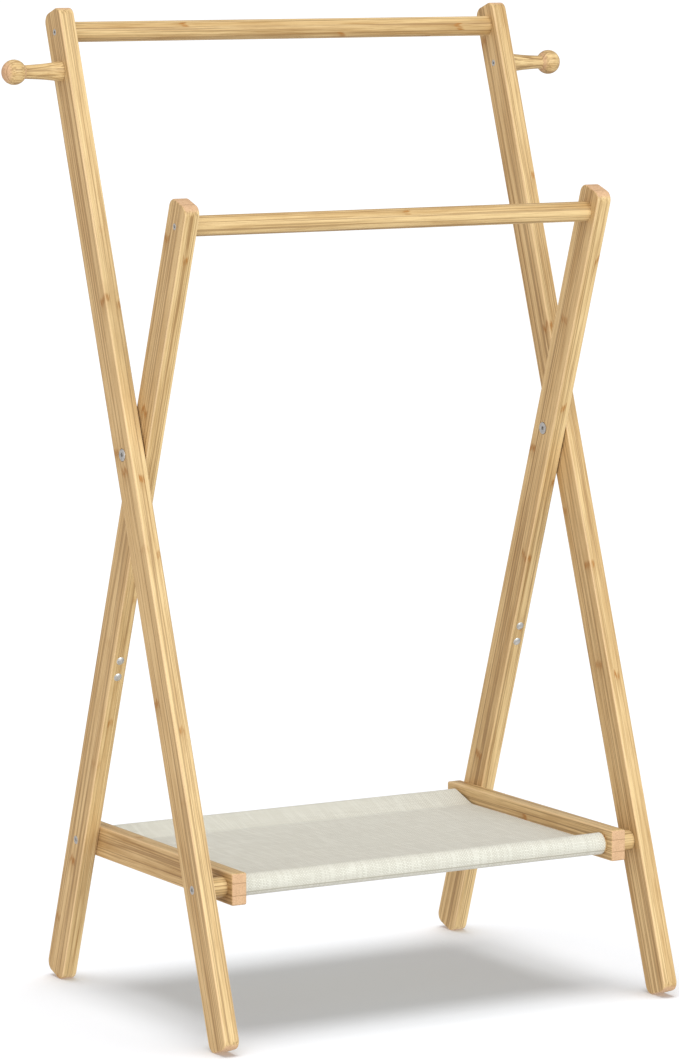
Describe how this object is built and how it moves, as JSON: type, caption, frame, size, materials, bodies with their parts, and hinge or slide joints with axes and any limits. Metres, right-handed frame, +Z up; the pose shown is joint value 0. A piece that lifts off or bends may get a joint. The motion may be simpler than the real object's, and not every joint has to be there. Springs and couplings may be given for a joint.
{
  "type": "clothes rack",
  "caption": "Folding bamboo clothes rack with crossed side legs, two hanging rails, turned end pegs and a fabric shelf between two rods.",
  "frame": {"origin": "floor under the middle of the rack", "axes": "+X to the rack's right, -Y its front where the tall legs stand, +Z up"},
  "size_m": [0.801, 0.5082, 1.2263],
  "materials": {
    "bamboo_board": "satin lacquered laminated bamboo",
    "bamboo_turned": "satin lacquered turned bamboo",
    "plated_steel": "bright zinc plated",
    "brass_insert": "plain",
    "canvas": "off-white plain weave"
  },
  "bodies": {
    "tall_frame": {"upper_rail": "bamboo_turned", "tall_leg_left": "bamboo_board", "peg_left": "bamboo_turned", "upper_rail_screw_left": "plated_steel", "peg_screw_left": "plated_steel", "pivot_bolt_left": "plated_steel", "pivot_sleeve_left": "plated_steel", "pivot_washer_left": "plated_steel", "shelf_front_bolt_left": "plated_steel", "tall_leg_right": "bamboo_board", "peg_right": "bamboo_turned", "upper_rail_screw_right": "plated_steel", "peg_screw_right": "plated_steel", "pivot_bolt_right": "plated_steel", "pivot_sleeve_right": "plated_steel", "pivot_washer_right": "plated_steel", "shelf_front_bolt_right": "plated_steel"},
    "short_frame": {"lower_rail": "bamboo_turned", "short_leg_left": "bamboo_board", "lower_rail_screw_left": "plated_steel", "leg_studs_left": "plated_steel", "short_leg_right": "bamboo_board", "lower_rail_screw_right": "plated_steel", "leg_studs_right": "plated_steel"},
    "shelf": {"shelf_front_rod": "bamboo_turned", "shelf_rear_rod": "bamboo_turned", "shelf_fabric": "canvas", "shelf_side_rail_left": "bamboo_board", "shelf_rear_bolt_left": "plated_steel", "front_rod_insert_left": "brass_insert", "rear_rod_insert_left": "brass_insert", "shelf_side_rail_right": "bamboo_board", "shelf_rear_bolt_right": "plated_steel", "front_rod_insert_right": "brass_insert", "rear_rod_insert_right": "brass_insert"}
  },
  "joints": [
    {"name": "frame_fold", "type": "hinge", "parent": "tall_frame", "child": "short_frame", "pos_m": [0, 0, 0.69208], "axis": [-1, 0, 0], "range_deg": [0, 38]},
    {"name": "shelf_swing", "type": "hinge", "parent": "short_frame", "child": "shelf", "pos_m": [0, 0.17369, 0.18765], "axis": [-1, 0, 0], "range_deg": [0, 65]}
  ]
}
